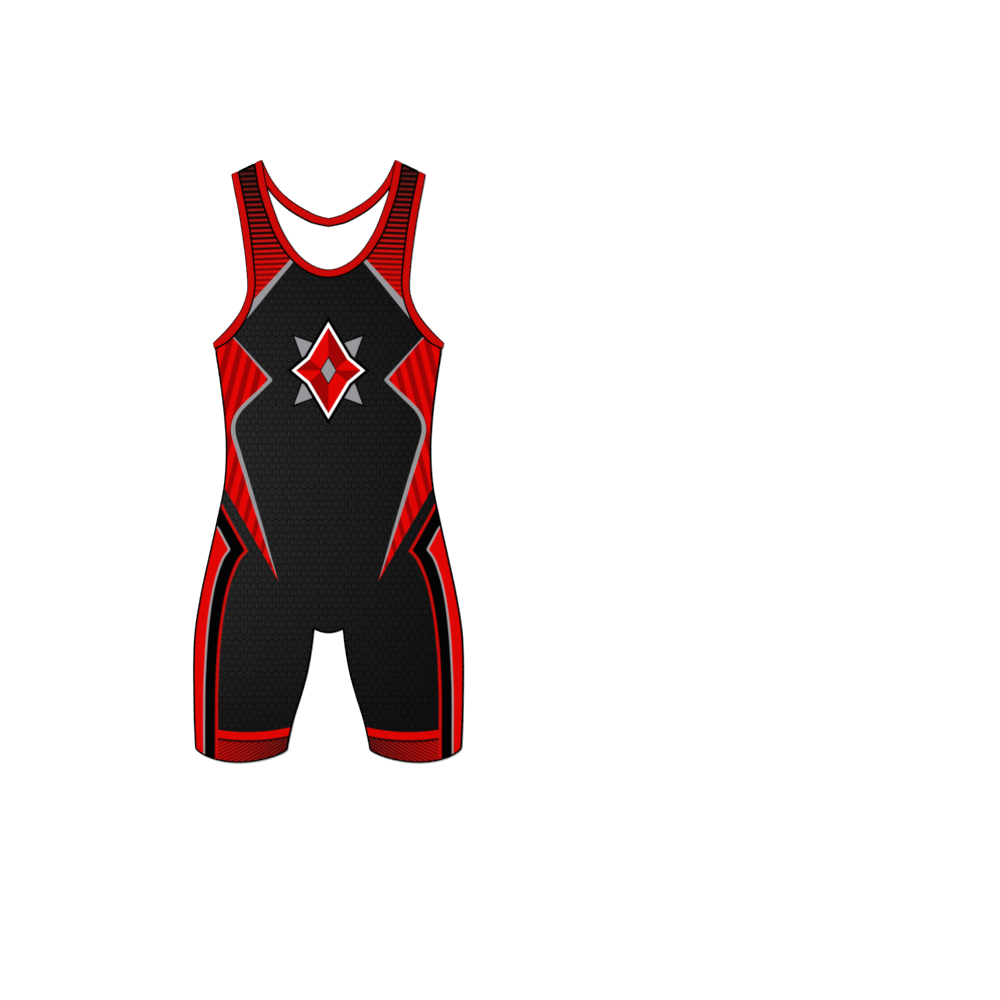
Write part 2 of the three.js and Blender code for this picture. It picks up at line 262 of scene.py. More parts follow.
def steps(count):
    return np.linspace(0, 1, count + 1)


def polyline(curve, count):
    return curve(steps(count - 1))


def smoothstep(value, low, high):
    t = np.clip((value - low) / (high - low), 0, 1)
    return t * t * (3 - 2 * t)


def edgesOf(rows, crossesCentre=False):
    rows = np.array(rows, float)
    return curveThrough(rows[:, :2], crossesCentre), curveThrough(rows[:, 2:], crossesCentre)


def fill(top, bottom, left, right, across, down):
    u, v = across[None, :, None], down[:, None, None]
    sides = (1 - u) * left(down)[:, None] + u * right(down)[:, None]
    ends = (1 - v) * top(across)[None] + v * bottom(across)[None]
    upper = (1 - u) * left(0) + u * right(0)
    lower = (1 - u) * left(1) + u * right(1)
    return sides + ends - ((1 - v) * upper + v * lower)


shoulderSeam = line(shoulderInner[2:], shoulderOuter[2:])
sideCurve = curveThrough(sideSeam)
inseamCurve = curveThrough(inseam)
frontNeckEdge, frontNeckSeam = edgesOf(frontNeck, True)
backNeckEdge, backNeckSeam = edgesOf(backNeck)
frontArmEdge, frontArmSeam = edgesOf(frontArmhole)
backArmEdge, backArmSeam = edgesOf(backArmhole)


def crotchLine(t):
    share = np.asarray(t, float)
    drop = crotchCentre[1] + (crotchCorner[1] - crotchCentre[1]) * share ** 2
    return np.stack([crotchCorner[0] * share, drop], axis=-1)


def hemCurve(cut):
    def at(t):
        fromMiddle = 2 * np.asarray(t, float) - 1
        bow = (1 + cut["hemLean"] * fromMiddle) * np.clip(1 - fromMiddle ** 2, 0, 1) ** cut["hemRound"]
        return line(hemInner, hemOuter)(t) - bow[..., None] * np.array((0, cut["hemDrop"]))

    return at


# The four grids of one half: strap, yoke, body and leg. The last number is the share of the hem's fold.
def halfGrids(cut, neckSeam, armSeam):
    columns, crotchColumns = cloth["columns"], cloth["crotchColumns"]
    across = steps(columns)
    crotchPart = crotchColumns / columns
    narrowest = cut["strapShare"]
    chest, narrow = neckSeam(1), armSeam(narrowest)
    legTop = line(crotchCorner, crotchSide)

    def bodyBottom(u):
        inner = crotchLine(np.minimum(u / crotchPart, 1))
        outer = legTop(np.maximum((u - crotchPart) / (1 - crotchPart), 0))
        return np.where((np.asarray(u) <= crotchPart)[..., None], inner, outer)

    strap = fill(
        shoulderSeam,
        line(chest, narrow),
        neckSeam,
        stretch(armSeam, 0, narrowest),
        across,
        steps(cloth["strapRows"]),
    )
    yoke = fill(
        line(chest, narrow),
        line(yokeCentre, underarm[2:]),
        line(chest, yokeCentre),
        stretch(armSeam, narrowest, 1),
        across,
        steps(cloth["yokeRows"]),
    )
    body = fill(
        line(yokeCentre, underarm[2:]),
        bodyBottom,
        line(yokeCentre, crotchCentre),
        stretch(sideCurve, 0, crotchShare),
        across,
        steps(cloth["bodyRows"]),
    )
    legLength = crotchCorner[1] - hemInner[1]
    stepAt = 1 - (cloth["hemHeight"] + cloth["hemStep"]) / legLength
    hemAt = 1 - cloth["hemHeight"] / legLength
    down = np.concatenate([
        np.linspace(0, stepAt, cloth["legRows"] + 1),
        np.linspace(hemAt, 1, cloth["hemRows"] + 1),
    ])
    leg = fill(
        legTop,
        hemCurve(cut),
        inseamCurve,
        stretch(sideCurve, crotchShare, 1),
        steps(columns - crotchColumns),
        down,
    )
    folded = [np.zeros(grid.shape[:2]) for grid in (strap, yoke, body)]
    folded.append(np.repeat((down >= hemAt)[:, None], leg.shape[1], axis=1).astype(float))
    return [np.dstack([grid, share]) for grid, share in zip((strap, yoke, body, leg), folded)]


# Both halves as one list of plan points and the cells between them
def planOf(grids):
    cells = []
    for grid in grids:
        cells.append(np.stack([grid[1:, :-1], grid[1:, 1:], grid[:-1, 1:], grid[:-1, :-1]], axis=2).reshape(-1, 4, 3))
    right = np.concatenate(cells)
    left = (right * (-1, 1, 1))[:, ::-1]
    corners = np.concatenate([right, left]).reshape(-1, 3)
    keys = np.round(corners[:, :2] * 500).astype(int)  # points within 0.002 mm are one
    _, first, numbers = np.unique(keys, axis=0, return_index=True, return_inverse=True)
    return corners[first], numbers.reshape(-1, 4)


def rimOf(cells):
    edges = np.concatenate([cells[:, [i, (i + 1) % 4]] for i in range(4)])
    count = cells.max() + 1
    forward, backward = edges[:, 0] * count + edges[:, 1], edges[:, 1] * count + edges[:, 0]
    return edges[~np.isin(forward, backward)]


def distanceTo(points, path):
    nearest = np.full(len(points), 1e9)
    for a, b in zip(path[:-1], path[1:]):
        along = b - a
        share = np.clip(((points - a) @ along) / max(along @ along, 1e-9), 0, 1)
        nearest = np.minimum(nearest, np.hypot(*(points - a - share[:, None] * along).T))
    return nearest


# How far each point is inside an outline, or outside it as a negative number
def insideOf(points, outline):
    outline = np.asarray(outline, float)
    closed = np.vstack([outline, outline[:1]])
    inside = np.zeros(len(points), bool)
    for a, b in zip(closed[:-1], closed[1:]):
        if a[1] == b[1]:
            continue
        crosses = (a[1] > points[:, 1]) != (b[1] > points[:, 1])
        inside ^= crosses & (points[:, 0] < a[0] + (points[:, 1] - a[1]) * (b[0] - a[0]) / (b[1] - a[1]))
    nearest = distanceTo(points, closed)
    return np.where(inside, nearest, -nearest)


# Heights of the front above the floor
relief = {
    "overArms": (120, 152),  # between these heights it climbs over the armhole bindings
    "overHems": (350, 374),  # and this far down over the hems
    "slack": 0.9,
    "slackEdge": 55,
    "slackFull": 190,
    "slackNone": 330,
    "shoulderReach": 14,
    # broad folds, as in the solids: x, y, long, wide, high, turn in degrees
    "folds": [
        (-62, 96, 150, 26, 0.6, 24),
        (70, 58, 130, 24, 0.5, -32),
        (-30, -70, 160, 30, 0.6, 12),
        (44, -128, 140, 26, 0.5, -48),
        (-74, -176, 120, 24, 0.5, 50),
        (112, -286, 110, 26, 0.45, -10),
        (-116, -318, 120, 24, 0.45, 8),
    ],
    # soft creases that only the cloth's surface has
    "creases": [
        (-96, 118, 96, 11, 0.42, 58),
        (101, 110, 88, 10, 0.38, -62),
        (-104, 20, 84, 10, 0.36, 84),
        (98, 8, 92, 11, 0.36, -86),
        (-50, -208, 90, 9, 0.42, 64),
        (46, -212, 84, 9, 0.42, -60),
        (-24, -186, 74, 8, 0.32, 30),
        (22, -178, 80, 8, 0.32, -26),
        (-118, -246, 100, 10, 0.34, 74),
        (122, -232, 92, 10, 0.34, -70),
        (-70, -300, 96, 9, 0.3, 30),
        (88, -330, 90, 9, 0.3, -24),
        (-30, 226, 72, 9, 0.28, 44),
        (34, 222, 72, 9, 0.28, -48),
    ],
    "pucker": 0.2,  # along the seams
    "backPucker": 0.1,
    "puckerPitch": 11,
    "puckerReach": 9,
    "wave": 0.16,
    "waveLength": 74,
}
halfSamples = np.vstack([polyline(frontArmSeam, 160)[:-1], polyline(sideCurve, 240)])[::-1]
inseamSamples = polyline(inseamCurve, 120)[::-1]


def bumps(x, y, rows):
    total = np.zeros_like(x)
    for centreX, centreY, long, wide, high, turn in rows:
        angle = math.radians(turn)
        along = (x - centreX) * math.sin(angle) + (y - centreY) * math.cos(angle)
        across = (x - centreX) * math.cos(angle) - (y - centreY) * math.sin(angle)
        total += high * np.exp(-((2 * along / long) ** 2) - (2 * across / wide) ** 2)
    return total


def frontInside(x, y):
    nearArms = smoothstep(y, *relief["overArms"])
    nearHems = smoothstep(-y, *relief["overHems"])
    level = overBack + (overBindings - overBack) * nearArms
    level = level + (overHems - level) * nearHems
    halfWidth = np.interp(y, halfSamples[:, 1], halfSamples[:, 0])
    inseamX = np.interp(y, inseamSamples[:, 1], inseamSamples[:, 0])
    besideLeg = np.maximum(0, np.abs(x) - inseamX)
    aboveCrotch = np.hypot(np.maximum(0, np.abs(x) - crotchCorner[0]), y - crotchCorner[1])
    fromInner = np.where(y < crotchCorner[1], besideLeg, aboveCrotch)
    edge = relief["slackEdge"]
    free = smoothstep(halfWidth - np.abs(x), 0, edge) * smoothstep(fromInner, 0, edge)
    free = free * (1 - smoothstep(y, relief["slackFull"], relief["slackNone"]))
    return level + free * (relief["slack"] + bumps(x, y, relief["folds"])), free


def shoulderDraw(x, y):
    outer, inner = np.array(shoulderOuter[2:]), np.array(shoulderInner[2:])
    along = inner - outer
    width = np.hypot(*along)
    along = along / width
    fromX, fromY = np.abs(x) - outer[0], y - outer[1]
    share = np.clip((fromX * along[0] + fromY * along[1]) / width, 0, 1)
    distance = np.abs(fromX * along[1] - fromY * along[0])
    near = 1 - smoothstep(distance, 0, relief["shoulderReach"])
    return (overBindings - overBack) * 4 * share * (1 - share) * near


def besideSeam(fromSeam):
    return np.exp(-fromSeam / relief["puckerReach"]) * smoothstep(fromSeam, 0, 3)


# Small rises that only lift the cloth: creases, a slow wave, and puckers beside the seams
def softness(x, y, fromSeam, free):
    creased = bumps(x, y, relief["creases"]) * smoothstep(fromSeam, 2, 26)
    turn = 2 * math.pi / relief["waveLength"]
    wave = 1 + np.sin(x * turn + 1.3 * np.sin(y * turn * 0.7)) * np.sin(y * turn * 1.2 + 0.8 * np.sin(x * turn * 0.9))
    pitch = 2 * math.pi / relief["puckerPitch"]
    ripple = 1 + np.sin(y * pitch + 1.7 * np.sin(y * 0.11)) * np.cos(x * pitch * 0.8 + 1.1 * np.sin(x * 0.09))
    return creased + relief["wave"] * wave * free + relief["pucker"] * ripple * besideSeam(fromSeam)


# The print, as outlines on the right half
farOut = 240
# A line's corners down to its bend, and then how far out it is at the heights below
sideHeights = (99.8, 85.8, 71.8, 57.8, 43.8, 29.8, 15.8, 1.8, -26.2, -54.2, -82.2, -110.2, -138.2, -166.9)
sideLines = {
    "redSide": {
        "upper": [(137, 176.8), (124, 162.8), (106.5, 141.8), (94.6, 127.8), (83.9, 114.4)],
        "lower": (98.1, 113.5, 126.6, 134, 136.4, 133.8, 129.2, 125.2, 116.3, 107.9, 98.8, 89.7, 80.6, 69.9),
    },
    "greySide": {
        "upper": [(135, 176.8), (128.7, 169.8), (103.1, 141.8), (90.4, 127.8), (77.4, 113.7)],
        "lower": (91.5, 105.8, 120.1, 128.5, 130.6, 127.7, 123.3, 119.2, 110.8, 102.5, 94.3, 86.3, 78.6, 70.3),
    },
}
sidePastTip = [(45, -240), (45, -260)]
sideLowerEdge = ((70.3, -166.9), (143.9, -39.9))  # straight, from the tip to the side seam
legHeights = (-138.2, -166.2, -194.2, -222.2, -250.2, -278.2, -306.2, -334.2, -390, -440)
legLines = {
    "thinRed": {
        "upper": [(161, -31), (155, -44.2), (144.6, -68.2), (137, -82.2), (121.4, -110.2), (112.3, -125.9)],
        "lower": (123.4, 135.7, 142.7, 147.5, 150.6, 153, 153.9, 154.8, 154.5, 154.6),
    },
    "blackBand": {
        "upper": [(162.5, -40.2), (148.3, -68.2), (141.1, -82.2), (125.4, -110.2), (116.9, -125)],
        "lower": (127.7, 139.1, 146.1, 150.8, 154.2, 156.3, 157.6, 158.2, 158.1, 158.3),
    },
    "greyLine": {
        "upper": [(167.2, -72), (156.6, -89.2), (151.8, -96.2), (144.5, -110.2), (137.2, -123.5)],
        "lower": (147.4, 156.9, 162.8, 166.6, 169.3, 171.1, 172.4, 173, 173, 173),
    },
    "sideBand": {
        "upper": [(168.4, -68.2), (154.2, -96.2), (147, -110.2), (140, -123.5)],
        "lower": (149.8, 159.1, 164.9, 168.9, 171.5, 173.1, 174.4, 175, 174.9, 174.7),
    },
}
frontStrap = {
    "strapRed": [(0, 340.1), (52.5, 282.8), (102.6, 228.1), (140, 187.3)],
    "strapGrey": [(0, 333.5), (49.7, 278), (81.3, 239.8), (92.4, 225.8), (113.1, 200.6), (125, 186)],
}
backStrap = {
    "strapRed": [(0, 345), (9, 333), (17.5, 321.2), (27.3, 307.2), (39.9, 293.2), (55.3, 279.2), (66, 270)],
    "strapGrey": [(0, 340.6), (14.7, 321.2), (25.2, 307.2), (37.1, 293.2), (48.3, 279.2), (62, 262)],
}
frontCuff = {
    "cuffTop": [(52.5, -372.1), (100.2, -378.8), (152.5, -376.1)],
    "cuffLine": [(53.3, -384.9), (76, -388.9), (100.2, -391.1), (124, -391.5), (152.5, -388.5)],
}
backCuff = {
    "cuffTop": [(52.5, -360.5), (100.2, -365.2), (152.5, -357.5)],
    "cuffLine": [(53.3, -374.5), (100.2, -378.6), (152.5, -371.2)],
}


def smoothPath(points, perStep=5):
    return polyline(curveThrough(points), (len(points) - 1) * perStep + 1)


def bentLine(rows, heights):
    *upper, bend = rows["upper"]
    return [*upper, *smoothPath([bend, *zip(rows["lower"], heights)])]


def printFields(points, strapLines, cuffLines):
    half = np.column_stack([np.abs(points[:, 0]), points[:, 1]])
    fields = {}
    outlines = {name: bentLine(rows, sideHeights) + sidePastTip for name, rows in sideLines.items()}
    outlines |= {name: bentLine(rows, legHeights) for name, rows in legLines.items()}
    for name, rows in outlines.items():
        fields[name] = insideOf(half, [*rows, (farOut, rows[-1][1]), (farOut, rows[0][1])])
    for name, rows in strapLines.items():
        outline = np.vstack([rows, [(farOut, rows[-1][1]), (farOut, 600), (0, 600)]])
        fields[name] = insideOf(half, outline)
    for name, rows in cuffLines.items():
        rows = np.array(rows)
        fields[name] = np.polyval(np.polyfit(rows[:, 0], rows[:, 1], 2), half[:, 0]) - half[:, 1]
    return fields


# Pieces from plan points
def addObject(name, mesh):
    piece = bpy.data.objects.new(name, mesh)
    bpy.context.scene.collection.objects.link(piece)
    return piece


def storeFields(mesh, fields):
    for name, values in fields.items():
        attribute = mesh.attributes.new(name, "FLOAT", "POINT")
        attribute.data.foreach_set("value", np.asarray(values, np.float32))


def meshOf(name, position, faces, smooth=True):
    mesh = bpy.data.meshes.new(name)
    mesh.from_pydata((position * millimetre).tolist(), [], faces)
    mesh.polygons.foreach_set("use_smooth", np.ones(len(faces), bool) & smooth)
    mesh.update()
    return mesh


def panelPiece(name, cut, neckSeam, armSeam, heights, strapLines, cuffLines, outerUp):
    points, cells = planOf(halfGrids(cut, neckSeam, armSeam))
    half = np.column_stack([np.abs(points[:, 0]), points[:, 1]])
    fromBinding = np.minimum(distanceTo(half, polyline(neckSeam, 60)), distanceTo(half, polyline(armSeam, 80)))
    sewn = np.vstack([
        distanceTo(half, polyline(sideCurve, 90)),
        distanceTo(half, np.vstack([polyline(crotchLine, 8)[:-1], polyline(inseamCurve, 50)])),
        distanceTo(half, np.array([shoulderInner[2:], shoulderOuter[2:]], float)),
    ]).min(axis=0)
    fromHem = distanceTo(half, polyline(hemCurve(cut), 40))
    low, high = heights(points[:, 0], points[:, 1], points[:, 2], np.minimum(fromBinding, sewn))
    count = len(points)
    position = np.vstack([np.column_stack([points[:, :2], low]), np.column_stack([points[:, :2], high])])
    rim = rimOf(cells)
    sides = np.column_stack([rim[:, 0], rim[:, 1], rim[:, 1] + count, rim[:, 0] + count])
    faces = np.vstack([cells + count, cells[:, ::-1], sides])
    layers = [len(cells), len(cells), len(sides)]
    mesh = meshOf(name, position, faces.tolist(), np.repeat([True, True, False], layers))
    mesh.polygons.foreach_set("material_index", np.repeat([0, 1, 0] if outerUp else [1, 0, 0], layers))
    fields = printFields(points, strapLines, cuffLines)
    fields |= {"fromBinding": fromBinding, "fromSeam": np.minimum(sewn, fromHem)}
    storeFields(mesh, {key: np.tile(values, 2) for key, values in fields.items()})
    return addObject(name, mesh)


def frontHeights(x, y, folded, fromSeam):
    inside, free = frontInside(x, y)
    inside = inside - shoulderDraw(x, y) + softness(x, y, fromSeam, free)
    return inside - cloth["hemFold"] * folded, inside + cloth["thick"] + cloth["hemRidge"] * folded


def backHeights(x, y, folded, fromSeam):
    ripple = np.sin(y * 0.55 + 1.7 * np.sin(y * 0.11)) * np.cos(x * 0.45 + 1.1 * np.sin(x * 0.09))
    pucker = relief["backPucker"] * (ripple * besideSeam(fromSeam) - 1)
    return np.zeros_like(x), cloth["thick"] + cloth["hemFold"] * folded + pucker


frontPanel = panelPiece(
    "front_cloth", frontCut, frontNeckSeam, frontArmSeam, frontHeights, frontStrap, frontCuff, True
)
backPanel = panelPiece(
    "back_cloth", backCut, backNeckSeam, backArmSeam, backHeights, backStrap, backCuff, False
)
print("cloth:", len(frontPanel.data.polygons), "and", len(backPanel.data.polygons), "faces")


# Bindings: one crowned strip each, closed to a ring
def bindingProfile():
    start, least = binding["innerFrom"], binding["leastRise"]
    inner = [(share, 0) for share in np.linspace(start, 1 - start, binding["innerPoints"])]
    turns = np.linspace(binding["crownFrom"], math.pi - binding["crownFrom"], binding["crownPoints"])
    outer = []
    for share in np.concatenate([[1], 1 - (1 - np.cos(turns)) / 2, [0]]):
        rise = (1 - abs(2 * share - 1) ** binding["edgeSquareness"]) ** 0.5 if 0 < share < 1 else least
        drawn = sum(math.exp(-(((share - row) / binding["channelWidth"]) ** 2)) for row in binding["stitchRows"])
        outer.append((share, max(least, rise) * binding["thick"] - binding["channel"] * drawn))
    return np.array(inner + outer)


profile = bindingProfile()


def evenShares(seam, edge, start, end):
    fine = np.linspace(start, end, 800)
    middle = (seam(fine) + edge(fine)) / 2
    length = np.concatenate([[0], np.cumsum(np.hypot(*np.diff(middle, axis=0).T))])
    count = max(2, round(length[-1] / binding["step"]))
    return np.interp(np.linspace(0, length[-1], count + 1), length, fine)


# Sections of a strip, from the first share of its edge to the last, with the crown up or down
def stripSections(edge, seam, start, end, insideAt, facing):
    shares = evenShares(seam, edge, start, end)
    seamPoints, edgePoints = seam(shares), edge(shares)
    toEdge = edgePoints - seamPoints
    width = np.hypot(*toEdge.T)
    start = -binding["lap"] / width
    inside = insideAt(seamPoints)
    end = 1 + binding["proud"] / width
    across = start[:, None] + (end - start)[:, None] * profile[None, :, 0]
    plan = seamPoints[:, None] + across[..., None] * toEdge[:, None]
    return np.dstack([plan, inside[:, None] + facing * profile[None, :, 1]])


def turnSections(fromSection, toSection, outwardWay):
    axisHeight = (fromSection[0, 2] + toSection[0, 2]) / 2
    sections = []
    for share in steps(binding["turnSteps"])[1:-1]:
        reach = (1 - share) * (fromSection[:, 2] - axisHeight) + share * (axisHeight - toSection[:, 2])
        plan = (1 - share) * fromSection[:, :2] + share * toSection[:, :2]
        plan = plan + np.outer(binding["turnReach"] * reach * math.sin(math.pi * share), outwardWay)
        sections.append(np.column_stack([plan, axisHeight + reach * math.cos(math.pi * share)]))
    return np.array(sections)


def squareTo(a, b):
    way = np.array((b[1] - a[1], a[0] - b[0]), float)
    return way / np.hypot(*way)


overShoulder = -squareTo(shoulderInner[:2], shoulderOuter[:2])
underArm = squareTo(underarm[2:], underarm[:2])


def frontInsideAt(points):
    return frontInside(points[:, 0], points[:, 1])[0]


def frontSections(edge, seam):
    return stripSections(edge, seam, 1, 0, lambda points: frontInsideAt(points) - binding["overCloth"], 1)


def backSections(edge, seam):
    return stripSections(edge, seam, 0, 1, lambda points: np.full(len(points), float(binding["thick"])), -1)


def neckSections():
    front, back = frontSections(frontNeckEdge, frontNeckSeam), backSections(backNeckEdge, backNeckSeam)
    half = np.concatenate([front, turnSections(front[-1], back[0], overShoulder), back])
    folds = fromFolds([len(front), "turn", len(back)])
    return np.concatenate([half, half[-2:0:-1] * (-1, 1, 1)]), np.concatenate([folds, folds[-2:0:-1]])


def armholeSections():
    front, back = frontSections(frontArmEdge, frontArmSeam), backSections(backArmEdge, backArmSeam)
    ring = np.concatenate([
        front,
        turnSections(front[-1], back[0], overShoulder),
        back,
        turnSections(front[0], back[-1], underArm)[::-1],
    ])
    return ring, fromFolds([len(front), "turn", len(back), "turn"])


# 0 at the middle of each turn between the front and the back, and 1 on the flat parts
def fromFolds(parts):
    turned = np.abs(2 * steps(binding["turnSteps"])[1:-1] - 1)
    return np.concatenate([turned if part == "turn" else np.ones(part) for part in parts])


# The way each section's crown faces
def crownWays(sections):
    ways = sections.mean(axis=1) - sections[:, :binding["innerPoints"]].mean(axis=1)
    return ways / np.linalg.norm(ways, axis=1)[:, None]


# The faces of a tube, from section to section
def tubeFaces(count, around, closed):
    i, j = np.meshgrid(np.arange(count if closed else count - 1), np.arange(around), indexing="ij")
    nextI, nextJ = (i + 1) % count, (j + 1) % around
    faces = np.stack([i * around + j, i * around + nextJ, nextI * around + nextJ, nextI * around + j], axis=-1)
    return faces.reshape(-1, 4)


def ringPiece(name, sections, folds):
    count, around = sections.shape[:2]
    middles = sections.mean(axis=1)
    along = np.concatenate([[0], np.cumsum(np.linalg.norm(np.diff(middles, axis=0), axis=1))])
    # the stitches draw the crown in between their holes
    crown = np.clip(profile[:, 1] / binding["thick"], 0, 1) ** 3
    ripple = np.sin(2 * math.pi * along / binding["puckerPitch"]) - 1
    shift = binding["pucker"] * ripple[:, None, None] * crown[None, :, None] * crownWays(sections)[:, None]
    position = (sections + shift).reshape(-1, 3)
    position[:, 2] = np.maximum(position[:, 2], 0)
    faces = tubeFaces(count, around, True)
    a, b, c = (position[faces[:, k]] for k in range(3))
    d = position[faces[:, 3]]
    volume = np.einsum("ij,ij->i", a, np.cross(b, c)).sum() + np.einsum("ij,ij->i", a, np.cross(c, d)).sum()
    if volume < 0:
        faces = faces[:, ::-1]
    mesh = meshOf(name, position, faces.tolist())
    storeFields(mesh, {
        "across": np.tile(profile[:, 0], count),
        "along": np.repeat(along, around),
        "fromFold": np.repeat(folds, around),
    })
    return addObject(name, mesh)


neckRing, neckFolds = neckSections()
armRing, armFolds = armholeSections()
neckBinding = ringPiece("neck_binding_strip", neckRing, neckFolds)
rightBinding = ringPiece("armhole_binding_right_strip", armRing, armFolds)
leftBinding = ringPiece("armhole_binding_left_strip", armRing * (-1, 1, 1), armFolds)
print("bindings:", len(neckRing), "and", len(armRing), "sections")

# Sewn edges, where the front and the back meet
seamEdge = {"out": -0.5, "shoulderOut": 0.7, "halfWidth": 1, "taper": 0.35, "around": 12, "cover": 0.06}


def seamTube(path, outwardWay, out):
    top = frontInsideAt(path) - shoulderDraw(*path.T) + cloth["thick"] + seamEdge["cover"]
    middle = path + outwardWay * out
    angles = np.arange(seamEdge["around"]) * 2 * math.pi / seamEdge["around"]
    taper = np.ones(len(path))
    taper[[0, -1]] = seamEdge["taper"]
    wide = seamEdge["halfWidth"] * taper[:, None] * np.cos(angles)[None]
    plan = middle[:, None] + wide[..., None] * outwardWay[:, None]
    high = top[:, None] / 2 * (1 + taper[:, None] * np.sin(angles)[None])
    return np.dstack([plan, high])


def waysOut(path, flip=1):
    way = np.gradient(path, axis=0)
    way /= np.hypot(*way.T)[:, None]
    return flip * np.column_stack([way[:, 1], -way[:, 0]])


def seamPiece(name, tubes):
    position, faces, start = [], [], 0
    for tube in tubes:
        count, around = tube.shape[:2]
        rows = tubeFaces(count, around, False).tolist()
        points = tube.reshape(-1, 3)
        rows.append(list(range(around))[::-1])
        rows.append(list(range((count - 1) * around, count * around)))
        first = points[rows[0]]
        middle = tube[:2].mean(axis=(0, 1))
        normal = np.cross(first[1] - first[0], first[2] - first[1])
        if normal @ (first.mean(axis=0) - middle) < 0:
            rows = [row[::-1] for row in rows]
        faces += [[start + number for number in row] for row in rows]
        position.append(points)
        start += len(points)
    return addObject(name, meshOf(name, np.vstack(position), faces))


def mirroredPath(path):
    return path[::-1] * (-1, 1)


sidePath = polyline(stretch(sideCurve, 0.012, 0.997), 190)
innerHalf = np.vstack([polyline(crotchLine, 10)[:-1], polyline(stretch(inseamCurve, 0, 0.99), 60)])
innerPath = np.vstack([mirroredPath(innerHalf), innerHalf[1:]])
shoulderPath = polyline(stretch(shoulderSeam, 0.03, 0.97), 12)
sewnEdges = seamPiece("sewn_edges", [
    seamTube(path, waysOut(path, flip), seamEdge[out])
    for path, flip, out in (
        (sidePath, -1, "out"),
        (mirroredPath(sidePath), -1, "out"),
        (innerPath, 1, "out"),
        (shoulderPath, -1, "shoulderOut"),
        (mirroredPath(shoulderPath), -1, "shoulderOut"),
    )
])
print("seams:", len(sewnEdges.data.polygons), "faces")


# Materials
# The ink that shows as a screen colour in the studio's light
def fromScreen(red, green, blue):
    parts = [value / 255 for value in (red, green, blue)]
    shown = [p / 12.92 if p <= 0.04045 else ((p + 0.055) / 1.055) ** 2.4 for p in parts]
    return (*[max(value - studio["sheen"], 0.0003) / studio["level"] for value in shown], 1)


inks = {
    "red": fromScreen(223, 6, 2),
    "deepRed": fromScreen(158, 4, 2),
    "lineRed": fromScreen(206, 14, 11),
    "bar": fromScreen(211, 12, 9),
    "barTop": fromScreen(98, 27, 26),
    "barGap": fromScreen(148, 8, 6),
    "barGapTop": fromScreen(24, 9, 9),
    "cuffPale": fromScreen(122, 26, 25),
    "cuffDark": fromScreen(52, 8, 8),
    "grey": fromScreen(150, 150, 154),
    "paleGrey": fromScreen(163, 158, 161),
    "hemThread": fromScreen(64, 64, 66),
    "white": (0.8, 0.8, 0.8, 1),
    "black": (0.0003, 0.0003, 0.0003, 1),
    "cell": (0.0085, 0.0087, 0.0087, 1),
    "cellRim": (0.0195, 0.0195, 0.0192, 1),
    "cellGap": (0.0026, 0.0027, 0.0027, 1),
    "binding": fromScreen(208, 11, 8),
    "bindingShade": fromScreen(36, 4, 4),
    "inside": (0.82, 0.82, 0.82, 1),
    "insideShade": (0.74, 0.74, 0.745, 1),
}
# A mottle is (scale, detail, fade of the noise into the second ink)
mottles = {
    "inside": (30, 3, (0.35, 0.75, 0, 0.35)),
    "binding": (420, 3, (0.35, 0.75, 0, 0.32)),
    "thread": (600, 2, (0.4, 0.9, 0, 0.3)),
}
weave = {
    "specular": 0.012,
    "roughScale": 260,
    "rough": (0.3, 0.7, 0.7, 0.86),
    "wale": 0.9,
    "course": 0.75,
    "slant": 0.8,
    "strength": 0.5,
    "depth": 0.00006,
}


class Amount:
    # a number in a material, so that patterns can be written as sums
    def __init__(self, socket):
        self.socket = socket

    def through(self, operation, *others):
        tree = self.socket.id_data
        node = tree.nodes.new("ShaderNodeMath")
        node.operation = operation
        for place, value in zip(node.inputs, (self, *others)):
            if isinstance(value, Amount):
                tree.links.new(value.socket, place)
            else:
                place.default_value = value
        return Amount(node.outputs[0])

    def __add__(self, other):
        return self.through("ADD", other)

    def __sub__(self, other):
        return self.through("SUBTRACT", other)

    def __mul__(self, other):
        return self.through("MULTIPLY", other)

    def __truediv__(self, other):
        return self.through("DIVIDE", other)

    def size(self):
        return self.through("ABSOLUTE")

    def least(self, other):
        return self.through("MINIMUM", other)

    def most(self, other):
        return self.through("MAXIMUM", other)

    # 1 where the number is above a limit, with a soft edge
    def above(self, limit, soft=0.5):
        return self.ramp(limit - soft / 2, limit + soft / 2)

    def below(self, limit, soft=0.5):
        return (self.above(limit, soft) * -1) + 1

    def ramp(self, low, high, atLow=0, atHigh=1):
        node = self.socket.id_data.nodes.new("ShaderNodeMapRange")
        self.socket.id_data.links.new(self.socket, node.inputs["Value"])
        for name, value in (("From Min", low), ("From Max", high), ("To Min", atLow), ("To Max", atHigh)):
            node.inputs[name].default_value = value
        return Amount(node.outputs["Result"])

    # how far from the nearest multiple of pitch
    def offLine(self, pitch):
        return ((self / pitch + 0.5).through("FRACT") - 0.5).size() * pitch


def paint(under, over, share):
    tree = share.socket.id_data
    node = tree.nodes.new("ShaderNodeMix")
    node.data_type = "RGBA"
    tree.links.new(share.socket, node.inputs[0])
    for place, colour in ((node.inputs[6], under), (node.inputs[7], over)):
        if isinstance(colour, tuple):
            place.default_value = colour
        else:
            tree.links.new(colour, place)
    return node.outputs[2]


# a colour made lighter or darker
def scaled(colour, factor):
    tree = factor.socket.id_data
    node = tree.nodes.new("ShaderNodeVectorMath")
    node.operation = "SCALE"
    tree.links.new(colour, node.inputs[0])
    tree.links.new(factor.socket, node.inputs["Scale"])
    return node.outputs[0]


def newMaterial(name):
    material = bpy.data.materials.new(name)
    material.use_nodes = True
    return material, material.node_tree


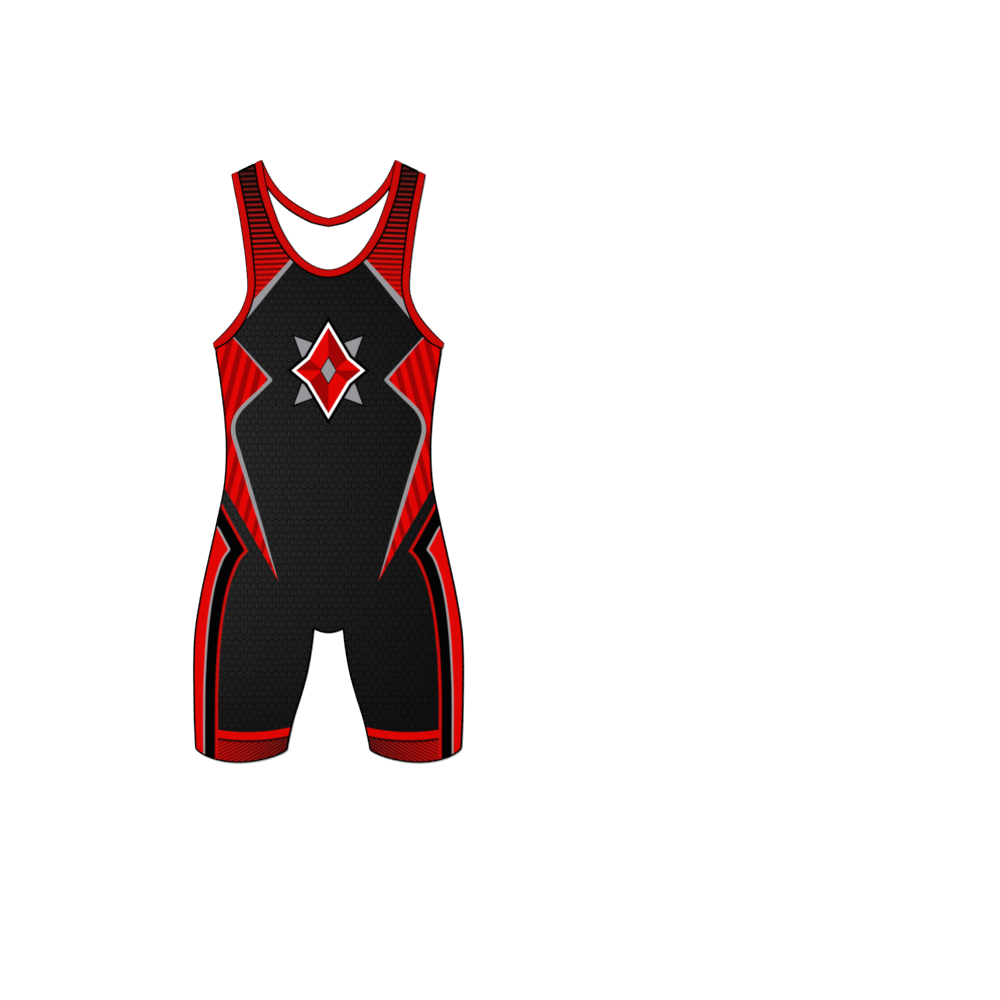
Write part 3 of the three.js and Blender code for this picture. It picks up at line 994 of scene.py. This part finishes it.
def placeIn(tree):
    node = tree.nodes.new("ShaderNodeTexCoord")
    split = tree.nodes.new("ShaderNodeSeparateXYZ")
    tree.links.new(node.outputs["Object"], split.inputs[0])
    return tuple(Amount(split.outputs[i]) * 1000 for i in range(3)) + (node.outputs["Object"],)


def fieldIn(tree, name):
    node = tree.nodes.new("ShaderNodeAttribute")
    node.attribute_name = name
    return Amount(node.outputs["Fac"])


def noiseIn(tree, where, scale, detail=2):
    node = tree.nodes.new("ShaderNodeTexNoise")
    tree.links.new(where, node.inputs["Vector"])
    node.inputs["Scale"].default_value = scale
    node.inputs["Detail"].default_value = detail
    return Amount(node.outputs["Fac"])


def mottled(tree, where, kind, under, over):
    scale, detail, fade = mottles[kind]
    return paint(inks[under], inks[over], noiseIn(tree, where, scale, detail).ramp(*fade))


# The shader that all the knits share: wales and courses as a fine relief
def finishKnit(tree, colour, across, down, where, extraHeight=None):
    shader = tree.nodes["Principled BSDF"]
    tree.links.new(colour, shader.inputs["Base Color"])
    rough = noiseIn(tree, where, weave["roughScale"]).ramp(*weave["rough"])
    tree.links.new(rough.socket, shader.inputs["Roughness"])
    shader.inputs["Specular IOR Level"].default_value = weave["specular"]
    lean = down.offLine(weave["course"]) * weave["slant"]
    loops = (across + lean).offLine(weave["wale"]) / weave["wale"] * 2
    height = loops.through("POWER", 2) * -1 + 1
    if extraHeight is not None:
        height = height + extraHeight
    bump = tree.nodes.new("ShaderNodeBump")
    bump.inputs["Strength"].default_value = weave["strength"]
    bump.inputs["Distance"].default_value = weave["depth"]
    tree.links.new(height.socket, bump.inputs["Height"])
    tree.links.new(bump.outputs["Normal"], shader.inputs["Normal"])


hexes = {
    "pitch": 10.01,
    "rowPitch": 8.855,
    "origin": (-2.45, 2.15),
    "gap": 0.66,
    "rim": 1.1,
    "soft": 0.9,
    "litSide": (-1.5, 2.5),  # where the rim is lit, from the cell's middle, and how softly that ends
    "litShare": 0.66,
    "mottleScale": 480,
    "mottle": (0.3, 0.7, 0.82, 1.18),
    "raised": 0.5,
}
# painted light: the hex ground is lightest at one side of the waist, as if lit from that side: least, level, slope
# across, falling off up and down
paintedLight = {"least": 0.27, "level": 0.78, "across": 0.0034, "centre": -20, "away": 6e-6}


def hexPattern(x, y, where, dark, paintedLightSide):
    pitch = hexes["pitch"]
    squeeze = pitch * math.sqrt(3) / 2 / hexes["rowPitch"]
    tall = pitch * math.sqrt(3)
    originX, originY = hexes["origin"]
    # painted light: a broad pool of light over the hex ground, lighter on one side and falling off up and down
    fromCentre = y - paintedLight["centre"]
    light = x * (paintedLight["across"] * paintedLightSide) + paintedLight["level"]
    light = light * (fromCentre * fromCentre * -paintedLight["away"] + 1) + paintedLight["least"]
    x, y = x - originX, (y - originY) * squeeze
    found = []
    for shift in (0, 0.5):
        dx = ((x / pitch + shift).through("FRACT") - 0.5) * pitch
        dy = ((y / tall + shift).through("FRACT") - 0.5) * tall
        slanted = dx.size() * 0.5 + dy.size() * (math.sqrt(3) / 2)
        found.append((dx, dx.size().most(slanted)))
    (dxA, reachA), (dxB, reachB) = found
    reach = reachA.least(reachB)
    chooseB = (reachB - reachA).below(0, 0.02)
    dx = dxA + (dxB - dxA) * chooseB
    cellEdge = pitch / 2 - hexes["gap"]
    inCell = reach.below(cellEdge, hexes["soft"])
    rim = inCell * reach.above(cellEdge - hexes["rim"], hexes["soft"]) * dx.below(*hexes["litSide"])
    mottle = noiseIn(x.socket.id_data, where, hexes["mottleScale"]).ramp(*hexes["mottle"])
    colour = paint(inks["cellGap"], inks["cell"], inCell)
    return scaled(paint(colour, inks["cellRim"], rim * hexes["litShare"]), light * mottle * dark), inCell


# Each diamond by its half width and half height
frontStar = {
    "centre": (0, 127),
    "tall": (36, 60.5),
    "wide": (45.5, 38),
    "behind": (67, 31),
    "heart": (10, 17),
    "heartInk": "grey",
    "whiteLine": 3.6,
    "blackLine": 8.2,
}
backStar = {
    "centre": (0, 21.5),
    "tall": (38, 60),
    "wide": (89, 36),
    "behind": (70, 21),
    "heart": (10, 10),
    "heartInk": "white",
    "whiteLine": 0,
    "blackLine": 2.6,
}
behindLine, heartLine = 2.2, 1.6


# A faceted star of two crossed diamonds, with a narrow slanted one behind it
def paintStar(colour, x, y, star):
    fromX, fromY = x - star["centre"][0], y - star["centre"][1]
    p, q = fromX.size(), fromY.size()

    def diamond(across, down, sizes):
        a, b = sizes
        return (across / a + down / b - 1) * (a * b / math.hypot(a, b))

    slant = math.sqrt(0.5)
    behind = diamond((p + q) * slant, (p - q).size() * slant, star["behind"])
    tall, wide = diamond(p, q, star["tall"]), diamond(p, q, star["wide"])
    front = tall.least(wide)
    colour = paint(colour, inks["black"], behind.below(behindLine))
    colour = paint(colour, inks["grey"], behind.below(0))
    colour = paint(colour, inks["black"], front.below(star["blackLine"]))
    if star["whiteLine"]:
        colour = paint(colour, inks["white"], front.below(star["whiteLine"]))
    sameSide = (fromX * fromY).above(0, 0.5)
    inWide = (tall - wide).above(0, 0.3)
    differ = (sameSide - inWide).size()
    facets = paint(inks["red"], inks["deepRed"], differ)
    colour = paint(colour, facets, front.below(0))
    heart = diamond(p, q, star["heart"])
    colour = paint(colour, inks["black"], heart.below(heartLine))
    return paint(colour, inks[star["heartInk"]], heart.below(0))


# A fade is (from, to, what it is there at the one and at the other)
stripes = {
    "sidePitch": 16.9,
    "sideDark": (-100, 60, 6.3, 8.4),  # how wide the dark ones are, below and above the waist
    "sideLean": 0.251,
    "sideFrom": (148.5, 125.4),
    "strapPitch": 7.3,
    "strapFrom": (112, 409.6),
    "strapLean": 0.04,
    "strapMargin": 2.1,
    "marginEnds": (262, 30),  # below this height, this softly
    "barShare": (290, 380, 0.52, 0.33),  # of the pitch
    "barSoft": 1.7,
    "barFade": (280, 400),
    "gapFade": (243, 300),
    "hatchPitch": 4.64,
    "hatchLean": (0.929, -0.0016),  # the strokes get steeper towards the inseam
    "hatchFrom": 1.8,
    "hatchShare": (60, 150, 0.58, 0.5),
    "hatchSoft": 2.2,
    "strokeFade": (50, 160, 0, 0.55),
    "paleFade": (60, 165, 0.04, 0.75),
    "cuffLine": 3.5,
}
# Each field's ink, where it starts and how softly
legInks = (
    ("thinRed", "lineRed", 0, 1.8),
    ("blackBand", "black", 0, 1.5),
    ("greyLine", "paleGrey", -0.3, 0.9),
    ("sideBand", "red", 0, 0.9),
)
# widths of the dark edges in millimetres; they are partly painted shade
outline = {"binding": 1.9, "seam": 2.6, "freeEdge": 1.8, "lappedEdge": 1.35, "fold": 0.92}


# The dark edge along the bindings and the seams: seam thread, and painted shade in the crease where a binding laps
# over the cloth
def paintOutline(colour, tree):
    colour = paint(colour, inks["black"], fieldIn(tree, "fromBinding").below(outline["binding"]))
    return paint(colour, inks["black"], fieldIn(tree, "fromSeam").below(outline["seam"]))


def printMaterial(name, star, dark, paintedLightSide):
    material, tree = newMaterial(name)
    x, y, _, where = placeIn(tree)
    half = x.size()

    def field(key):
        return fieldIn(tree, key)

    colour, inCell = hexPattern(x, y, where, dark, paintedLightSide)

    # side panel: grey edge, then red with leaning dark stripes
    (tipX, tipY), (sideX, sideY) = sideLowerEdge
    slope = math.hypot(sideX - tipX, sideY - tipY)
    overLower = ((y - tipY) * (sideX - tipX) - (half - tipX) * (sideY - tipY)) / slope
    colour = paint(colour, inks["grey"], field("greySide").least(overLower - 0.5).above(0))
    fromX, fromY = stripes["sideFrom"]
    phase = half - fromX + (y - fromY) * stripes["sideLean"]
    wide = y.ramp(*stripes["sideDark"]) * 0.5
    band = (wide - phase.offLine(stripes["sidePitch"])).above(0, 0.9)
    striped = paint(inks["red"], inks["deepRed"], band)
    colour = paint(colour, striped, field("redSide").least(overLower).above(0))

    # strap: grey diagonal, then red bars that widen downwards on black
    colour = paint(colour, inks["grey"], field("strapGrey").above(0))
    fromX, fromY = stripes["strapFrom"]
    bars = (y - fromY + (half - fromX) * stripes["strapLean"]).offLine(stripes["strapPitch"]) * 2
    inBar = (y.ramp(*stripes["barShare"]) * stripes["strapPitch"] - bars).above(0, stripes["barSoft"])
    barInk = paint(inks["bar"], inks["barTop"], y.ramp(*stripes["barFade"]))
    ground = paint(inks["barGap"], inks["barGapTop"], y.ramp(*stripes["gapFade"]))
    margin = field("fromBinding").below(stripes["strapMargin"]) * y.above(*stripes["marginEnds"])
    barred = paint(paint(ground, barInk, inBar), inks["black"], margin)
    colour = paint(colour, barred, field("strapRed").above(0))

    # cuff: red band, black line and hatching
    lean, bend = stripes["hatchLean"]
    rise = (y + half * (half * bend + lean) - stripes["hatchFrom"]).offLine(stripes["hatchPitch"]) * 2
    strokeWidth = half.ramp(*stripes["hatchShare"]) * stripes["hatchPitch"]
    stroke = (strokeWidth - rise).above(0, stripes["hatchSoft"])
    strokeInk = paint(inks["cuffDark"], inks["deepRed"], half.ramp(*stripes["strokeFade"]))
    paleInk = paint(inks["cuffPale"], inks["red"], half.ramp(*stripes["paleFade"]))
    cuff = paint(inks["red"], paint(paleInk, strokeInk, stroke), field("cuffLine").above(0))
    cuff = paint(cuff, inks["cuffDark"], field("cuffLine").size().below(stripes["cuffLine"] / 2, 0.9))
    colour = paint(colour, cuff, field("cuffTop").above(0))

    # leg: thin red, black band, grey line, red side
    for key, ink, at, soft in legInks:
        colour = paint(colour, inks[ink], field(key).above(at, soft))

    colour = paintOutline(paintStar(colour, x, y, star), tree)
    finishKnit(tree, colour, x, y, where, inCell * hexes["raised"])
    return material


def insideMaterial():
    material, tree = newMaterial("white_inside")
    x, y, _, where = placeIn(tree)
    colour = mottled(tree, where, "inside", "inside", "insideShade")
    finishKnit(tree, paintOutline(colour, tree), x, y, where)
    return material


def bindingMaterial():
    material, tree = newMaterial("binding_red")
    _, _, _, where = placeIn(tree)
    width = binding["lap"] + binding["wide"] + binding["proud"]
    across, along = fieldIn(tree, "across") * width, fieldIn(tree, "along")
    colour = mottled(tree, where, "binding", "binding", "deepRed")
    # painted shade: the binding darker along its rolled free edge, its lapped edge and the middle of each turn
    for share in (
        across.above(width - outline["freeEdge"], 0.6),
        across.below(outline["lappedEdge"], 0.4),
        fieldIn(tree, "fromFold").below(outline["fold"], 0.12),
    ):
        colour = paint(colour, inks["bindingShade"], share)
    finishKnit(tree, colour, along, across, where)
    return material


def plainKnit(name, ink):
    material, tree = newMaterial(name)
    x, y, _, where = placeIn(tree)
    finishKnit(tree, mottled(tree, where, "thread", ink, "black"), x, y, where)
    return material


# the last number is the side that the painted light on the hex ground falls from
frontPrint = printMaterial("front_print", frontStar, 1, -1)
backPrint = printMaterial("back_print", backStar, 0.72, 1)
whiteInside = insideMaterial()
bindingRed = bindingMaterial()
seamBlack = plainKnit("seam_black", "black")
threads = {
    "red": plainKnit("thread_red", "deepRed"),
    "grey": plainKnit("thread_grey", "hemThread"),
    "black": plainKnit("thread_black", "black"),
}
for piece, outer in ((frontPanel, frontPrint), (backPanel, backPrint)):
    piece.data.materials.append(outer)
    piece.data.materials.append(whiteInside)
for piece in (neckBinding, rightBinding, leftBinding):
    piece.data.materials.append(bindingRed)
sewnEdges.data.materials.append(seamBlack)
print("materials:", len(bpy.data.materials))

# Stitches by Geometry Nodes: small grains of thread along a path
stitch = {
    "pitch": 4.1,
    "length": 2.7,
    "vary": (0.86, 1.06),  # shortest and longest, as shares of the length
    "radius": 0.2,
    "hemPitch": 4,
    "hemRows": (6, 10),
    "hemEnds": 0.02,  # how much of the hem has none, as a share at each end
    "crownLift": -0.02,
    "innerLift": 0.06,
    "hemLift": 0.05,
    "hemUnderLift": 0.06,
    "backHemLift": -0.13,
    "seed": 7,
}


def stitchTree():
    tree = bpy.data.node_groups.new("stitchRow", "GeometryNodeTree")
    sockets = {}
    sockets["Path"] = tree.interface.new_socket("Path", in_out="INPUT", socket_type="NodeSocketGeometry")
    for name, kind in (
        ("Pitch", "NodeSocketFloat"),
        ("Stitch length", "NodeSocketFloat"),
        ("Thread radius", "NodeSocketFloat"),
        ("Seed", "NodeSocketInt"),
        ("Thread", "NodeSocketMaterial"),
    ):
        sockets[name] = tree.interface.new_socket(name, in_out="INPUT", socket_type=kind)
    tree.interface.new_socket("Stitches", in_out="OUTPUT", socket_type="NodeSocketGeometry")

    def add(kind, inputs, output=0, **settings):
        node = tree.nodes.new(kind)
        for key, value in settings.items():
            setattr(node, key, value)
        for key, value in inputs.items():
            if isinstance(value, bpy.types.NodeSocket):
                tree.links.new(value, node.inputs[key])
            else:
                node.inputs[key].default_value = value
        return node.outputs[output]

    given = tree.nodes.new("NodeGroupInput").outputs
    curve = add("GeometryNodeMeshToCurve", {0: given["Path"]})
    points = add("GeometryNodeResampleCurve", {"Curve": curve, "Length": given["Pitch"]}, mode="LENGTH")
    grain = add("GeometryNodeMeshUVSphere", {"Segments": 6, "Rings": 4})
    grain = add("GeometryNodeSetShadeSmooth", {0: grain})
    tangent = add("GeometryNodeInputTangent", {})
    turn = add("FunctionNodeAlignRotationToVector", {"Vector": tangent}, axis="Z")
    half = add("ShaderNodeMath", {0: given["Stitch length"], 1: 0.5}, operation="MULTIPLY")
    limits = dict(zip((2, 3), stitch["vary"]))
    vary = add("FunctionNodeRandomValue", {**limits, "Seed": given["Seed"]}, output=1, data_type="FLOAT")
    long = add("ShaderNodeMath", {0: half, 1: vary}, operation="MULTIPLY")
    size = add("ShaderNodeCombineXYZ", {0: given["Thread radius"], 1: given["Thread radius"], 2: long})
    row = {"Points": points, "Instance": grain, "Rotation": turn, "Scale": size}
    placed = add("GeometryNodeInstanceOnPoints", row)
    real = add("GeometryNodeRealizeInstances", {0: placed})
    finished = add("GeometryNodeSetMaterial", {"Geometry": real, "Material": given["Thread"]})
    tree.links.new(finished, tree.nodes.new("NodeGroupOutput").inputs[0])
    return tree, {name: socket.identifier for name, socket in sockets.items()}


stitchNodes, stitchInputs = stitchTree()


def keepAboveFloor(mesh):
    places = np.empty(len(mesh.vertices) * 3, np.float32)
    mesh.vertices.foreach_get("co", places)
    places[2::3] = np.maximum(places[2::3], 0)
    mesh.vertices.foreach_set("co", places)
    mesh.update()


# Rows are (points in millimetres, whether the row is closed)
def stitchPiece(name, rows, pitch, thread):
    points, edges, start = [], [], 0
    for path, closed in rows:
        count = len(path)
        points.append(path)
        edges += [(start + i, start + i + 1) for i in range(count - 1)]
        if closed:
            edges.append((start + count - 1, start))
        start += count
    mesh = bpy.data.meshes.new(name + "_path")
    mesh.from_pydata((np.vstack(points) * millimetre).tolist(), edges, [])
    guide = addObject(name + "_path", mesh)
    modifier = guide.modifiers.new("stitches", "NODES")
    modifier.node_group = stitchNodes
    for key, value in (
        ("Pitch", pitch * millimetre),
        ("Stitch length", stitch["length"] * millimetre),
        ("Thread radius", stitch["radius"] * millimetre),
        ("Seed", stitch["seed"]),
        ("Thread", thread),
    ):
        modifier[stitchInputs[key]] = value
    evaluated = guide.evaluated_get(bpy.context.evaluated_depsgraph_get())
    made = bpy.data.meshes.new_from_object(evaluated)
    made.name = name
    keepAboveFloor(made)
    guide.modifiers.clear()
    bpy.data.objects.remove(guide)
    return addObject(name, made)


# The line on a ring's crown or inner face at a share of its width
def ringRow(sections, share, onCrown):
    part = slice(binding["innerPoints"], None) if onCrown else slice(binding["innerPoints"])
    shares, rows = profile[part, 0], sections[:, part]
    order = np.argsort(shares)
    path = np.array([[np.interp(share, shares[order], row[order, k]) for k in range(3)] for row in rows])
    path += crownWays(sections) * stitch["crownLift" if onCrown else "innerLift"]
    path[:, 2] = np.maximum(path[:, 2], stitch["radius"])
    return path, True


bindingRows = []
for ring in (neckRing, armRing, armRing * (-1, 1, 1)):
    for share in binding["stitchRows"]:
        bindingRows += [ringRow(ring, share, True), ringRow(ring, share, False)]
bindingStitches = stitchPiece("binding_stitches", bindingRows, stitch["pitch"], threads["red"])


def hemRow(cut, above, heightAt, side):
    plan = polyline(stretch(hemCurve(cut), stitch["hemEnds"], 1 - stitch["hemEnds"]), 60)
    plan = plan + waysOut(plan, -1) * above
    plan[:, 0] *= side
    return np.column_stack([plan, heightAt(plan)]), False


def frontHemTop(plan):
    return frontInsideAt(plan) + cloth["thick"] + cloth["hemRidge"] + stitch["hemLift"]


def frontHemUnder(plan):
    return frontInsideAt(plan) - cloth["hemFold"] + stitch["hemUnderLift"]


def backHemTop(plan):
    return np.full(len(plan), cloth["thick"] + cloth["hemFold"] + stitch["backHemLift"])


def backHemUnder(plan):
    return np.full(len(plan), float(stitch["radius"]))


outerRows, innerRows = [], []
for side in (1, -1):
    for above in stitch["hemRows"]:
        outerRows.append(hemRow(frontCut, above, frontHemTop, side))
        outerRows.append(hemRow(backCut, above, backHemUnder, side))
        innerRows.append(hemRow(frontCut, above, frontHemUnder, side))
        innerRows.append(hemRow(backCut, above, backHemTop, side))
outerHemStitches = stitchPiece("hem_stitches_outside", outerRows, stitch["hemPitch"], threads["black"])
innerHemStitches = stitchPiece("hem_stitches_inside", innerRows, stitch["hemPitch"], threads["grey"])
print("stitches:", len(bindingStitches.data.polygons), "faces on the bindings")

# What each piece is
pieces = {
    frontPanel: ("printed_knit", "front_panel"),
    backPanel: ("printed_knit", "back_panel"),
    neckBinding: ("binding_knit", "neck_binding"),
    rightBinding: ("binding_knit", "armhole_binding_right"),
    leftBinding: ("binding_knit", "armhole_binding_left"),
    sewnEdges: ("printed_knit", None),
    bindingStitches: ("binding_knit", None),
    outerHemStitches: ("printed_knit", None),
    innerHemStitches: ("printed_knit", None),
}
for piece, (slotName, node) in pieces.items():
    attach(piece, "root")
    if node:
        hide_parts(node)
